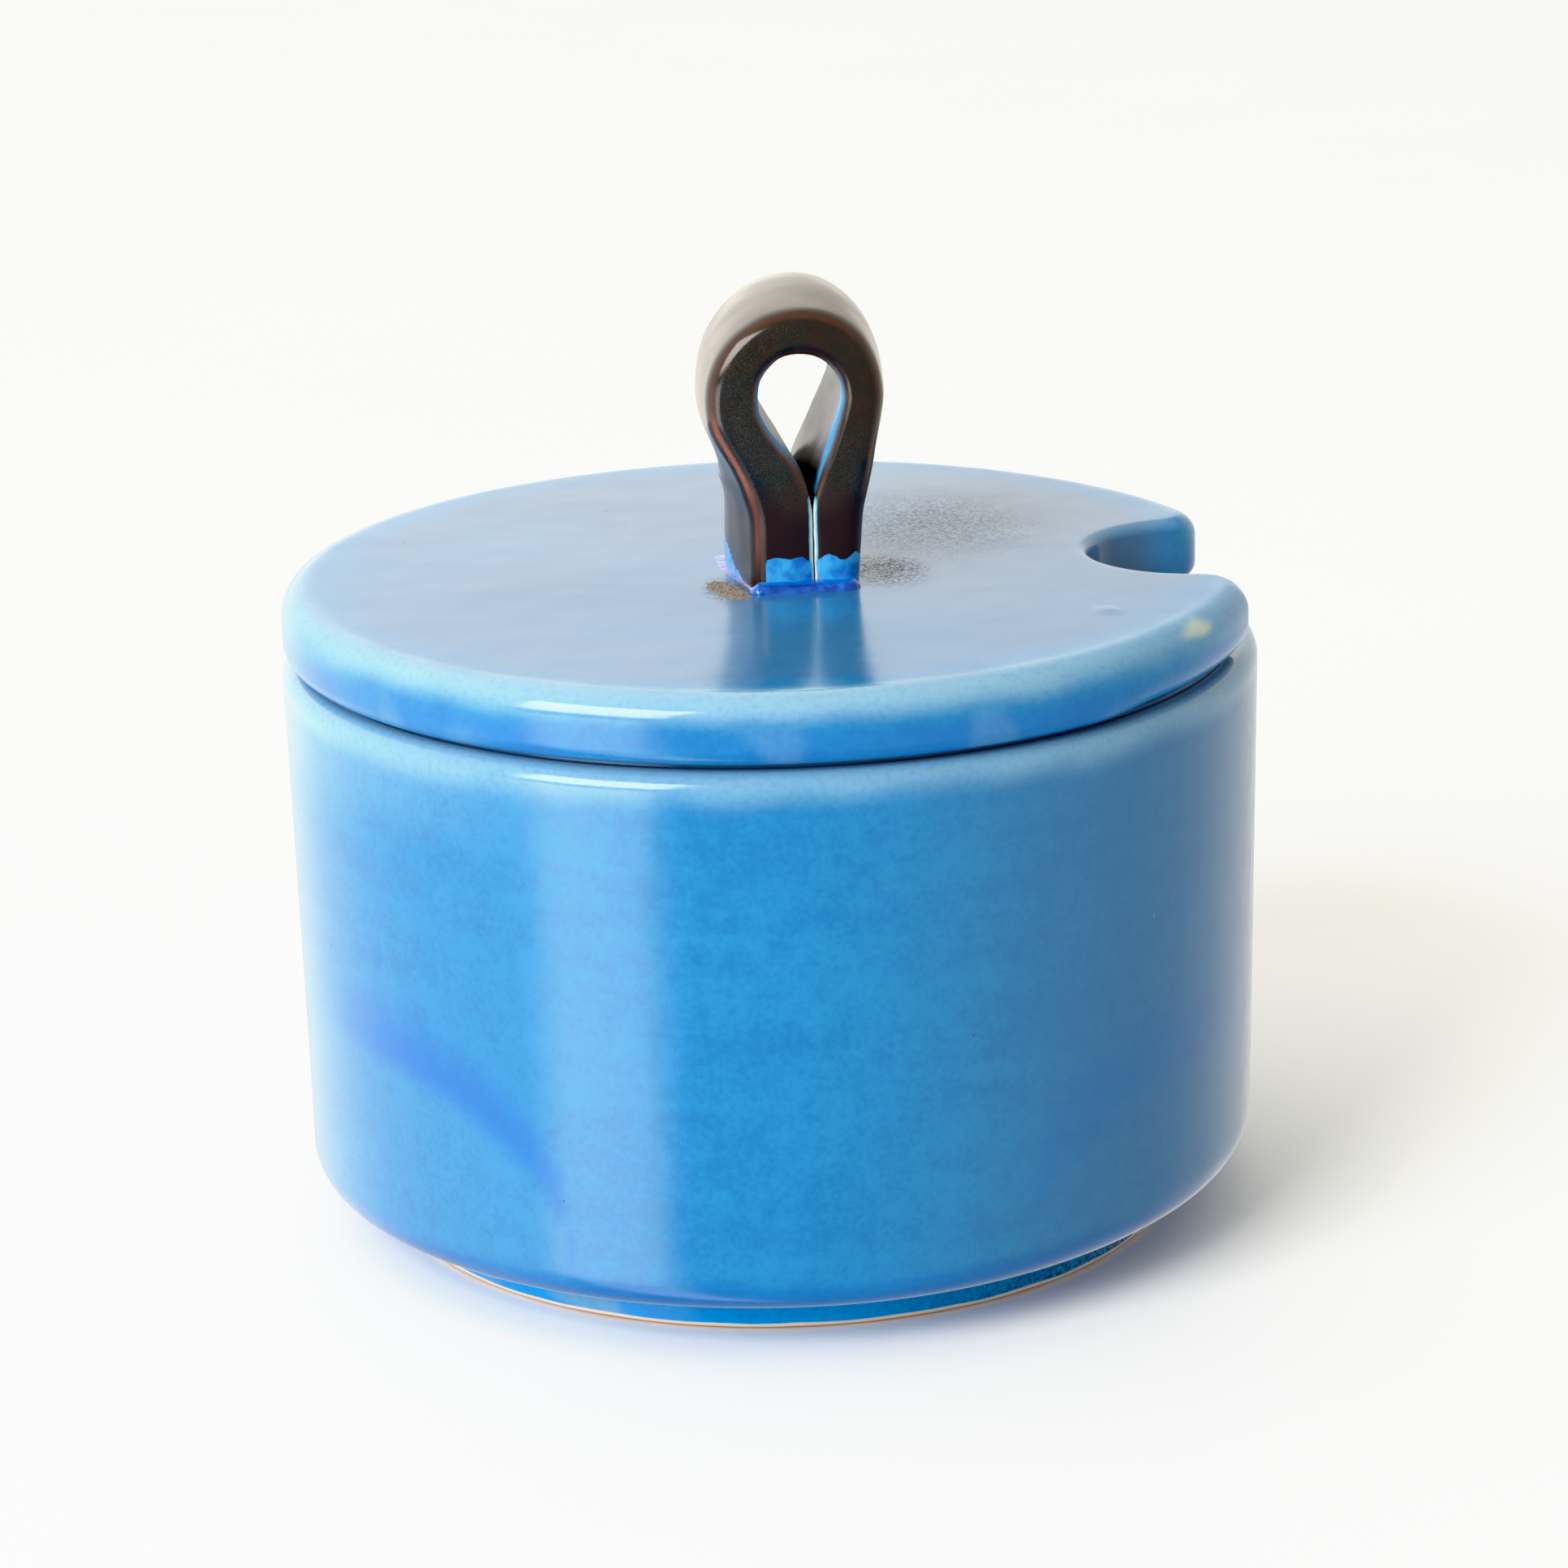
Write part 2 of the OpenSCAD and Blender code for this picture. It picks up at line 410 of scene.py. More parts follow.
def iron_glaze(name):
    """Brown-black iron glaze. It reads the masks of strap_masks from the mesh."""
    g = Glaze(name, ior=1.6, specular=0.37)
    mottle = g.noise(2.4 * MM, detail=4)
    grain = g.noise(0.15 * MM, detail=2, roughness=0.6)
    colour = g.mix(g.span(mottle, 0.35, 0.65), IRON_BLACK, IRON_BROWN)
    colour = g.mix(g.mask("leg"), colour, IRON_RED)
    # Painted reflection of the bright room on the strap's top.
    colour = g.mix(g.mask("top_sheen"), colour, SHEEN_GREY)
    fleck = g.mix(g.mask("teal"), OLIVE_FLECK, TEAL_FLECK)
    colour = g.mix(g.times(g.span(grain, 0.42, 0.78, 0.0, 0.55), g.mask("fleck")), colour, fleck)
    colour = g.mix(g.mask("rust"), colour, RUST_EDGE)
    colour = g.mix(g.times(g.mask("copper"), g.span(grain, 0.25, 0.6, 0.45, 1.0)), colour, COPPER)
    # Painted reflection in pale grey on the opening's inner sides, which are also rougher.
    colour = g.mix(g.times(g.mask("inner_sheen"), g.span(grain, 0.3, 0.42)), colour, INNER_SHEEN_GREY)
    colour = g.mix(g.mask("lip"), colour, BRIGHT_BLUE)
    seam = g.plus(g.mask("seam"), g.span(mottle, 0.2, 0.8, -0.12, 0.12))
    colour = g.mix(g.span(seam, 0.25, 0.55), colour, SEAM_CYAN)
    blue = g.mix(g.span(mottle, 0.3, 0.7), BRIGHT_BLUE, DEEP_BLUE)
    colour = g.mix(g.span(g.mask("base"), 0.4, 0.6), colour, blue)
    colour = g.mix(g.span(seam, 0.68, 0.92, 0.0, 0.8), colour, SEAM_CREAM)
    colour = g.mix(g.mask("crack"), colour, IRON_BLACK)
    rough = g.plus(g.span(mottle, 0.2, 0.8, 0.12, 0.18), g.times(g.mask("inner_sheen"), 0.2))
    height = g.plus(g.times(g.noise(5 * MM, detail=1), 0.5), g.times(grain, 0.05))
    return g.finish(colour, rough, height, depth=0.12 * MM)


def pooled_glaze(name):
    """Thick glossy cobalt glaze that thins to lavender. It reads crown and thin from the mesh."""
    g = Glaze(name, ior=1.55)
    drift = g.noise(2.2 * MM, detail=2)
    colour = g.mix(g.span(drift, 0.4, 0.7), COBALT_POOL, DEEP_BLUE)
    colour = g.mix(g.mask("crown"), colour, DEEP_BLUE)
    colour = g.mix(g.mask("thin"), colour, LAVENDER)
    return g.finish(colour, 0.07, g.noise(1.1 * MM, detail=1), depth=0.16 * MM)


def scorched_clay(name):
    """Rough tan clay with dark grains, where the glaze crawled off."""
    g = Glaze(name)
    grain = g.noise(0.35 * MM, detail=4, roughness=0.7)
    colour = g.mix(g.span(grain, 0.36, 0.62), SCAB_DARK, SCAB_TAN)
    return g.finish(colour, 0.75, grain, depth=0.25 * MM)


# -------- the bowl

# The two curved dip lines on the wall: the angle at which each is highest, how many degrees it takes to fall,
# and how far it falls to its foot.
LEFT_DIP = (-152, 32, 22.5 * MM)
RIGHT_DIP = (-40, -26, 17.5 * MM)
DIP_FOOT = 12 * MM
FAR_BELOW = -50 * MM


def azimuth(x, y):
    """The direction of a point from the bowl's axis in degrees, from -180 to 180."""
    return math.degrees(math.atan2(y, x))


def bowl_profile(degrees):
    """Outline of the bowl's section at one angle, from the floor's underside round to the inside."""
    softer = smooth(70, 20, abs(angle_gap(degrees, -20)))
    corner = CORNER_R + CORNER_SOFTER * softer
    a = math.radians(degrees)
    bulge = 0.1 * MM * wander(math.cos(a), math.sin(a), 0, 1.3, 3.1) - 0.05 * MM
    outer = BOWL_R - 0.02 * MM
    low = outer - TAPER
    inner_top = BOWL_R - WALL
    inner_low = inner_top - TAPER
    floor = BOWL_BOTTOM + FLOOR

    def thrown(point):
        """Faint throwing rings on the wall."""
        radius, height = point
        fade = smooth(BOWL_BOTTOM, BOWL_BOTTOM + 20 * MM, height) * smooth(CROWN, CROWN - 8 * MM, height)
        ridges = 0.025 * MM * wander(height, 0.8 * MM * math.sin(a), 0, 3.4 * MM)
        return radius + fade * (bulge + ridges), height

    underside = line((0, BOWL_BOTTOM), (low - corner, BOWL_BOTTOM), 8)
    corner_arc = arc(low - corner, BOWL_BOTTOM + corner, corner, -90, 0, 12)
    wall = line((low, BOWL_BOTTOM + corner), (outer, CROWN - RIM_OUTER_R), 60)[1:]
    rim = arc(outer - RIM_OUTER_R, CROWN - RIM_OUTER_R, RIM_OUTER_R, 0, 90, 10)
    inner_rim = arc(inner_top + RIM_INNER_R, CROWN - RIM_INNER_R, RIM_INNER_R, 90, 180, 6)
    inner_wall = line((inner_top, CROWN - RIM_INNER_R), (inner_low, floor + INNER_CORNER_R), 24)[1:]
    inner_corner = arc(inner_low - INNER_CORNER_R, floor + INNER_CORNER_R, INNER_CORNER_R, 0, -90, 10)
    bottom = line((inner_low - INNER_CORNER_R, floor), (0, floor), 12)[1:]
    outside = underside + corner_arc + [thrown(p) for p in wall] + rim
    return outside + inner_rim + inner_wall + inner_corner + bottom + [(0, floor)]


def bowl_thin(x, y, z):
    """Where the bowl's glaze runs thin: over the rim, below the left dip line and on the corner's ridge."""
    a = azimuth(x, y)
    depth = CROWN - z + 0.8 * MM * wander(x, y, z, 7 * MM)
    left = smooth(-104, -137, a) * smooth(-179, -155, a)
    rim = (0.65 + 0.1 * left) * smooth((5 + 2 * left) * MM, (0.6 + 0.8 * left) * MM, depth)
    paler = 0.25 * smooth(50, 12, abs(angle_gap(a, -160))) * smooth(16 * MM, 3 * MM, depth)
    ridge = 0.4 * smooth(0.9 * MM, 0.1 * MM, z - BOWL_BOTTOM) * smooth(-60, -90, a) * smooth(-179, -150, a)
    below = 0.06 * smooth(-3 * MM, 3 * MM, dip_line(a, *LEFT_DIP) - z)
    below *= smooth(-104, -124, a) * smooth(-176, -164, a)
    return min(1.0, max(rim, (paler + below) * (1 - bowl_pool(x, y, z)), ridge))


def dip_line(degrees, start, spread, rise):
    """Height of a glaze line that curves down from start over spread degrees; far below elsewhere."""
    along = angle_gap(degrees, start) / spread
    if not 0 <= along < 1:
        return DIP_FOOT + rise if -1.2 < along < 0 else FAR_BELOW
    return DIP_FOOT + rise * math.sqrt(1 - along * along)


def dip_band(x, y, z, line_at, width):
    """The thicker glaze just above a dip line: sharp below, soft above."""
    above = z - line_at + 0.7 * MM * wander(x, y, z, 10 * MM)
    return smooth(-0.4 * width, 0.2 * width, above) * smooth(1.3 * width, 0.2 * width, above)


def bowl_pool(x, y, z):
    """Where the bowl's glaze runs thick: above the dip lines, low on the wall and in the corner inside."""
    a = azimuth(x, y)
    left = dip_band(x, y, z, dip_line(a, *LEFT_DIP), 8 * MM) * smooth(-112, -126, a) * smooth(-168, -146, a)
    right = 0.22 * dip_band(x, y, z, dip_line(a, *RIGHT_DIP), 11 * MM) * smooth(-12, -30, a)
    hem = 0.5 * smooth(BOWL_BOTTOM + 6 * MM, BOWL_BOTTOM + 2 * MM, z)
    inside = 0.6 * smooth(BOWL_BOTTOM + 14 * MM, BOWL_BOTTOM + 8 * MM, z)
    inside *= smooth(57 * MM, 50 * MM, math.hypot(x, y))
    return min(1.0, max(0.75 * left, right, hem, inside))


def bowl_haze(x, y, z):
    """Painted shade: a dull, greyer lilac over the side away from the softbox, strongest round the back and
    on the notch's side, with a faint lilac cast on the far left.
    """
    a = azimuth(x, y)
    return 0.66 * smooth(-92, -50, a) * smooth(170, 60, a) + 0.12 * smooth(60, 25, abs(angle_gap(a, -165)))


def make_bowl():
    solid = lathe_solid(bowl_profile, 288)
    make_piece(
        "bowl_shell", solid, blue_glaze("bowl_glaze"), "bowl", "blue_glaze_body", ["bowl"],
        thin=bowl_thin, pool=bowl_pool, haze=bowl_haze,
    )


# -------- the foot and the bare seat

def foot_profile(degrees):
    """The foot's section at one angle, with a slightly uneven outside."""
    a = math.radians(degrees)
    wave = 0.1 * MM * wander(math.cos(a), math.sin(a), 0, 0.4)
    outer = FOOT_R + wave - 0.15 * MM
    inner = FOOT_R - FOOT_W
    top = foot_high.z
    return (
        arc(inner + FOOT_EDGE_R, FOOT_EDGE_R, FOOT_EDGE_R, 180, 270, 6)
        + arc(outer - FOOT_EDGE_R, FOOT_EDGE_R, FOOT_EDGE_R, 270, 360, 6)
        + line((outer, FOOT_EDGE_R), (outer, top), 6)[1:]
        + line((outer, top), (inner, top), 4)
        + line((inner, top), (inner, FOOT_EDGE_R), 6)
    )


def foot_bare(x, y, z):
    """The wiped edge of the foot, bare up to a wavering line near the table."""
    return smooth(1.15 * MM, 0.05 * MM, z + 0.15 * MM * wander(x, y, 0, 6 * MM))


def foot_thin(x, y, z):
    """Broken pale patches on the foot's left."""
    broken = smooth(0.0, 0.5, wander(x, y, 2 * z, 7 * MM))
    return 0.6 * broken * smooth(50, 25, abs(angle_gap(azimuth(x, y), -150)))


def foot_dust(x, y, z):
    """Painted shade: a darker, greyer speckle on the foot's right, where it stands in deep shadow."""
    a = azimuth(x, y)
    return 0.8 * smooth(-92, -45, a) * smooth(170, 60, a)


def make_foot():
    solid = lathe_ring(foot_profile, 240)
    # The foot's lighter blues are painted light for the bounce under the overhang.
    glaze = blue_glaze("foot_glaze", shine=0.15, deep=FOOT_BLUE_DEEP_PAINTED_LIGHT, light=FOOT_BLUE_PAINTED_LIGHT)
    make_piece(
        "foot", solid, glaze, "bowl", "blue_glaze_foot", ["foot_ring"],
        bare=foot_bare, thin=foot_thin, dust=foot_dust,
    )


def seat_profile(degrees):
    """The wiped band on the rim's crown, a little domed."""
    outer = SEAT_R - 0.9 * MM
    inner = BOWL_R - WALL + RIM_INNER_R
    low, high = seat_low.z, seat_high.z
    edge = 0.35 * MM
    return (
        [(inner, low)]
        + line((outer, low), (outer, high - edge), 2)
        + arc(outer - edge, high - edge, edge, 0, 90, 4)
        + arc(inner + edge, high - edge, edge, 90, 180, 4)
    )


def seat_bare(x, y, z):
    """Bare clay inside the painted shade line under the lid's edge."""
    return 0.6 * smooth(SEAT_R - 1.3 * MM, SEAT_R - 1.55 * MM, math.hypot(x, y))


def make_seat():
    solid = lathe_ring(seat_profile, 240)
    # Dark navy over the seat's outer edge is painted shade for the gap under the lid's edge.
    glaze = blue_glaze("seat_clay_and_painted_shade", deep=SEAM_SHADE, light=SEAM_SHADE)
    make_piece("bare_seat", solid, glaze, "lid_seat", "bare_clay", ["lid_seat"], bare=seat_bare)


# -------- the lid

def lid_outline():
    """Samples round the lid's edge as (centre x, centre y, radius, angle, side).

    side is 1 on round outer stretches and -1 in the notch's hollow.
    """
    to_axis = LID_R - MOUTH_R
    to_end = NOTCH_R + MOUTH_R
    corner_x = (to_axis ** 2 + NOTCH_X ** 2 - to_end ** 2) / (2 * NOTCH_X)
    corner_y = math.sqrt(to_axis ** 2 - corner_x ** 2)
    rim_from = math.degrees(math.atan2(corner_y, corner_x))
    corner_to = math.degrees(math.atan2(-corner_y, NOTCH_X - corner_x))
    hollow_to = math.degrees(math.atan2(corner_y, corner_x - NOTCH_X))
    stretches = [
        (0, 0, LID_R, rim_from, 360 - rim_from, 1, ROUND_STEPS),
        (corner_x, -corner_y, MOUTH_R, -rim_from, -corner_to, 1, 22),
        (NOTCH_X, 0, NOTCH_R, 360 - hollow_to, hollow_to, -1, 44),
        (corner_x, corner_y, MOUTH_R, corner_to, rim_from, 1, 22),
    ]
    samples = []
    for x, y, radius, start, end, side, steps in stretches:
        for i in range(steps):
            samples.append((x, y, radius, math.radians(start + (end - start) * i / steps), side))
    return samples


def inset(sample, distance):
    """The outline's point moved into the lid by distance."""
    x, y, radius, angle, side = sample
    reach = radius - side * distance
    return x + reach * math.cos(angle), y + reach * math.sin(angle)


def lid_swell(x, y):
    """Height of the hand-made slab's top above a flat one."""
    slow = 0.16 * MM * wander(x, y, 0, 34 * MM, 1.7)
    quick = 0.03 * MM * wander(x, y, 0, 7 * MM, 5.3)
    lump = 0.35 * MM * smooth(1.5 * MM, 0.2 * MM, math.hypot(x - 40.8 * MM, y + 31.5 * MM))
    return slow + quick + lump - 0.16 * MM


def in_notch(sample):
    """1 on the notch's hollow and fading to 0 past its two mouth corners."""
    x, y = inset(sample, 0)
    return smooth(21 * MM, 13 * MM, abs(y)) * smooth(30 * MM, 40 * MM, x)


def top_round(sample):
    """Radius of the lid's top edge."""
    return LID_TOP_EDGE_R + (NOTCH_TOP_EDGE_R - LID_TOP_EDGE_R) * in_notch(sample)


def under_round(sample):
    """Radius of the lid's underside edge, softer on the notch's near horn."""
    x, y = inset(sample, 0)
    horn = HORN_ROUNDING * smooth(-56, -44, azimuth(x, y)) * smooth(-15, -20, azimuth(x, y))
    return LID_UNDER_EDGE_R + horn + (NOTCH_UNDER_EDGE_R - LID_UNDER_EDGE_R) * in_notch(sample)


def edge_profile(sample):
    """The edge's section as (inset, height), from the underside up and round to the flat of the top."""
    under, top = under_round(sample), top_round(sample)
    profile = []
    for i in range(9):
        a = math.radians(-90 + 90 * i / 8)
        profile.append((under * (1 - math.cos(a)), LID_BOTTOM + under * (1 + math.sin(a))))
    for i in range(1, 5):
        profile.append((0.0, LID_BOTTOM + under + (LID_TOP - LID_BOTTOM - under - top) * i / 5))
    for i in range(13):
        a = math.radians(90 * i / 12)
        profile.append((top * (1 - math.cos(a)), LID_TOP - top * (1 - math.sin(a))))
    for i in range(1, 4):
        profile.append((top + (EDGE_SETTLE - top) * i / 3, LID_TOP))
    return profile


def edge_rows(samples):
    """Rows of points round the lid, one row for each point of the edge's section."""
    sections = [[(*inset(s, far_in), height) for far_in, height in edge_profile(s)] for s in samples]
    return [list(row) for row in zip(*sections)]


def cap(outline, spacing):
    """Points inside a flat outline, about spacing apart, and triangles that fill it.

    The outline's own points come first in the triangles' numbering, then the new ones.
    """
    corners = [Vector(p) for p in outline]
    count = int(2 * LID_R / spacing)
    inner = []
    for i in range(count):
        for j in range(count):
            x = -LID_R + spacing * (i + 0.5 * (j % 2))
            y = -LID_R + spacing * j
            inside_rim = math.hypot(x, y) < LID_R - EDGE_SETTLE - 0.7 * spacing
            outside_notch = math.hypot(x - NOTCH_X, y) - NOTCH_R > EDGE_SETTLE + 0.7 * spacing
            if inside_rim and outside_notch:
                inner.append(Vector((x, y)))
    ring = list(range(len(corners)))
    points, _, triangles, _, _, _ = delaunay_2d_cdt(corners + inner, [], [ring], 1, 1e-7)
    return [tuple(p) for p in points[len(corners):]], triangles


def lid_thin(x, y, z):
    """Where the lid's glaze breaks pale: along its top edge, most on the near side, and at the notch."""
    radius = math.hypot(x, y)
    drift = 1.0 * MM * wander(x, y, 0, 8 * MM)
    near = 0.35 + 0.65 * smooth(85, 30, abs(angle_gap(azimuth(x, y), -106)))
    high = smooth(LID_TOP - 4.6 * MM, LID_TOP - 1.0 * MM, z + 0.6 * drift)
    edge = near * smooth(LID_R - 5.5 * MM, LID_R - 2.2 * MM, radius + 0.7 * drift) * high
    from_notch = math.hypot(x - NOTCH_X, y)
    hollow = smooth(NOTCH_R + 2.2 * MM, NOTCH_R + 0.4 * MM, from_notch) * smooth(LID_TOP - 2 * MM, LID_TOP, z)
    patches = smooth(0.1, 0.5, wander(x, y, z, 9 * MM, 4.0))
    patches *= smooth(LID_R - 2 * MM, LID_R - 0.5 * MM, radius)
    return min(1.0, max(edge, 0.5 * hollow, 0.16 * patches * near))


def lid_pool(x, y, z):
    """Deeper blue low on the lid's edge and inside the notch."""
    low = smooth(LID_TOP - 3.6 * MM, LID_TOP - 6.0 * MM, z)
    low *= smooth(NOTCH_R + 0.5 * MM, NOTCH_R + 3 * MM, math.hypot(x - NOTCH_X, y))
    drift = smooth(-0.4, 0.4, wander(x, y, 0, 14 * MM, 8.0))
    return low * (0.25 + 0.35 * drift)


def lid_haze(x, y, z):
    """A dull lilac cast on the lid's flat top, deepened along its far right as painted shade."""
    flat = smooth(LID_R - 4 * MM, LID_R - 12 * MM, math.hypot(x, y) + 2 * MM * wander(x, y, 0, 14 * MM))
    # Painted shade: the cast deepens towards the far right.
    far = smooth(-10 * MM, 40 * MM, 0.5 * x + y)
    return min(1.0, flat * (0.6 + 0.35 * far + 0.3 * wander(x, y, 0, 22 * MM, 3.0)))


def lid_dust(x, y, z):
    """Speckled dull patches on the lid: to the right of the handle, behind it, and beside its front."""
    near = smooth(1.0, 0.2, math.hypot((x - 15.5 * MM) / (8 * MM), (y + 5 * MM) / (13 * MM)))
    far = 0.45 * smooth(1.0, 0.1, math.hypot((x - 24 * MM) / (24 * MM), (y - 18 * MM) / (30 * MM)))
    beside = smooth(1.0, 0.3, math.hypot((x + 6 * MM) / (4.5 * MM), (y + 12 * MM) / (9 * MM)))
    return max(0.8 * near, far, 0.8 * beside)


def lid_spot(x, y, z):
    """A yellowish thin spot on the near horn's edge."""
    along = angle_gap(azimuth(x, y), -36.5) / 5.0 + 0.15 * wander(x, y, z, 3 * MM)
    across = (z - LID_TOP + 1.4 * MM) / (1.3 * MM) + 0.3 * wander(x, y, z, 2 * MM, 2.0)
    outer = smooth(LID_R - 5.5 * MM, LID_R - 3.5 * MM, math.hypot(x, y))
    return 0.75 * outer * smooth(1.0, 0.2, math.hypot(along, across))


def make_lid():
    """The lid: rows round its edge, with a coarse cap below and a fine one above."""
    rows = edge_rows(lid_outline())
    flat, numbers = numbered(rows)
    faces = join_rows(numbers)
    for row, spacing, flip in ((0, 8 * MM, True), (len(rows) - 1, 1.3 * MM, False)):
        inner, triangles = cap([p[:2] for p in rows[row]], spacing)
        spots = list(numbers[row]) + list(range(len(flat), len(flat) + len(inner)))
        flat += [(x, y, rows[row][0][2]) for x, y in inner]
        filled = [tuple(spots[n] for n in triangle) for triangle in triangles]
        faces += flipped(filled) if flip else filled
    points = []
    for x, y, z in flat:
        raised = smooth(LID_BOTTOM + LID_UNDER_EDGE_R, LID_TOP, z)
        points.append((x, y, z + raised * lid_swell(x, y)))
    make_piece(
        "lid_slab", (points, faces), blue_glaze("lid_glaze"), "lid", "blue_glaze_lid", ["lid"],
        thin=lid_thin, pool=lid_pool, haze=lid_haze, dust=lid_dust, spot=lid_spot,
    )


# -------- the locating ring

def ring_section(t):
    """The locating ring's section at t, which runs from 0 to 1 between the ring's two rounded ends."""
    half_w = RING_W / 2
    middle = RING_R - half_w
    sweep = 360 - 2 * RING_CUT
    from_end = min(t, 1 - t) * math.radians(sweep) * middle
    near_end = 1 - min(from_end / (2.5 * MM), 1)
    shrink = math.sqrt(1 - near_end ** 2) * 0.75 + 0.25
    w = (half_w - 0.05 * MM) * shrink
    uneven = 0.1 * MM * wander(10 * t, 0, 0, 0.7) - 0.1 * MM
    corner = min(1.3 * MM, w * 0.8)
    low = RING_TOP - (RING_TOP - RING_BOTTOM) * (0.6 + 0.4 * shrink) - uneven + corner
    profile = (
        [(-w, RING_TOP), (-w, low)]
        + arc(-w + corner, low, corner, 180, 270, 5)[1:]
        + arc(w - corner, low, corner, 270, 360, 5)
        + [(w, RING_TOP)]
    )
    angle = math.radians(RING_CUT + sweep * t)
    return [turned(middle + r, z, angle) for r, z in reversed(profile)]


def ring_thin(x, y, z):
    """Thin glaze on the ring's lower edge."""
    return 0.7 * smooth(RING_BOTTOM + 1.8 * MM, RING_BOTTOM, z)


def make_ring():
    """The ring under the lid, swept round from one side of the notch to the other."""
    solid = sweep_solid([ring_section(i / RING_STEPS) for i in range(RING_STEPS + 1)])
    glaze = blue_glaze("ring_glaze", 0.28)
    make_piece("locating_ring", solid, glaze, "lid", "blue_glaze_ring", ["lid_locating_ring"], thin=ring_thin)


# -------- the handle

HANDLE_X = (handle_low.x + handle_high.x) / 2
HANDLE_Y = (handle_low.y + handle_high.y) / 2
HANDLE_DEPTH = handle_high.y - handle_low.y
HANDLE_FRONT = handle_low.y
# The loop's middle, and the seam between the strap's two ends.
LOOP_Z = handle_high.z - 12.5 * MM
SEAM_X = HANDLE_X + 1.78 * MM

# The strap's middle line from the left end over the loop to the right end, all in millimetres: across and up
# from the loop's middle and the strap's thickness, all at the front edge, then how each of the three differs
# at the back.
STRAP = [
    (-2.15, -25.9, 7.8, -1.8, 0.0, 0.8),
    (-2.15, -20.5, 7.8, -1.8, 0.0, 0.8),
    (-2.2, -15.5, 7.8, -1.7, 0.0, 0.8),
    (-3.3, -11.2, 7.9, -1.4, 0.0, 1.2),
    (-5.2, -7.95, 6.8, -0.6, 0.0, 1.2),
    (-6.8, -5.4, 6.5, 0.0, 0.1, 0.9),
    (-8.0, -2.6, 6.6, 0.2, 0.2, 0.6),
    (-8.15, 0.6, 6.6, 0.4, 0.5, 0.4),
    (-7.4, 3.5, 6.3, 0.5, 0.8, 0.3),
    (-5.65, 5.9, 6.0, 0.6, 1.1, 0.3),
    (-3.15, 7.7, 5.8, 0.7, 1.3, 0.3),
    (0.0, 8.4, 5.8, 0.7, 1.4, 0.3),
    (3.4, 7.9, 5.7, 0.6, 1.3, 0.3),
    (6.1, 6.2, 5.6, 0.5, 1.0, 0.4),
    (7.9, 3.3, 5.3, 0.5, 0.6, 0.6),
    (8.55, 0.0, 5.2, 0.3, 0.2, 0.9),
    (8.15, -2.9, 5.4, 0.0, 0.0, 1.2),
    (7.35, -6.0, 5.8, -0.3, 0.0, 1.4),
    (6.6, -9.0, 6.2, -0.8, 0.0, 1.4),
    (5.8, -12.2, 6.4, -1.3, 0.0, 1.2),
    (5.08, -15.5, 6.5, -1.5, 0.0, 0.8),
    (4.85, -20.5, 6.05, -1.5, 0.0, 0.8),
    (4.65, -25.9, 5.65, -1.5, 0.0, 0.8),
]
STRAP_STEPS = 260
TANGENT_STEP = 0.004
OUTER_CORNER_R = 1.8 * MM
OUTER_CROWN = 0.8 * MM
SIDE_PILLOW = 0.6 * MM
# Where the opening closes to a point, from the loop's middle, and the top of the blue band, from the lid.
VERTEX_Z = -13.2 * MM
BAND_TOP = 4.2 * MM


def spline(rows, t):
    """Catmull-Rom curve through rows of numbers, for t from 0 to 1."""
    spans = len(rows) - 1
    i = min(int(t * spans), spans - 1)
    f = t * spans - i
    before = rows[max(i - 1, 0)]
    after = rows[min(i + 2, spans)]
    return [
        0.5 * (2 * b + (c - a) * f + (2 * a - 5 * b + 4 * c - d) * f * f + (3 * b - a - 3 * c + d) * f ** 3)
        for a, b, c, d in zip(before, rows[i], rows[i + 1], after)
    ]


def strap_section(inner_corner):
    """The strap's closed section as (outward, rounding, along Y).

    Outward runs from -1 to 1 over the thickness, and rounding is a length to add to it. The corners on the
    inner side have the radius inner_corner.
    """
    body_w = HANDLE_DEPTH / 2 - SIDE_PILLOW
    outer_y = body_w - OUTER_CORNER_R
    inner_y = body_w - inner_corner
    side = [(1, x, y) for x, y in arc(-OUTER_CORNER_R, outer_y, OUTER_CORNER_R, 0, 90, 8)[1:]]
    for i in range(1, 12):
        f = i / 12
        side.append((1 - 2 * f, inner_corner * f - OUTER_CORNER_R * (1 - f), body_w))
    side += [(-1, x, y) for x, y in arc(inner_corner, inner_y, inner_corner, 90, 180, 6)]
    outside = [(1, 0.0, -outer_y + 2 * outer_y * i / 16) for i in range(17)]
    inside = [(-1, 0.0, inner_y - 2 * inner_y * i / 16) for i in range(1, 16)]
    return outside + side + inside + [(share, rounding, -y) for share, rounding, y in reversed(side)]


def strap_outward(t):
    """The direction from the strap's middle line away from the loop's inside."""
    before = spline(STRAP, max(t - TANGENT_STEP, 0))
    after = spline(STRAP, min(t + TANGENT_STEP, 1))
    tangent = Vector((after[0] - before[0], 0, after[1] - before[1])).normalized()
    return Vector((-tangent.z, 0, tangent.x))


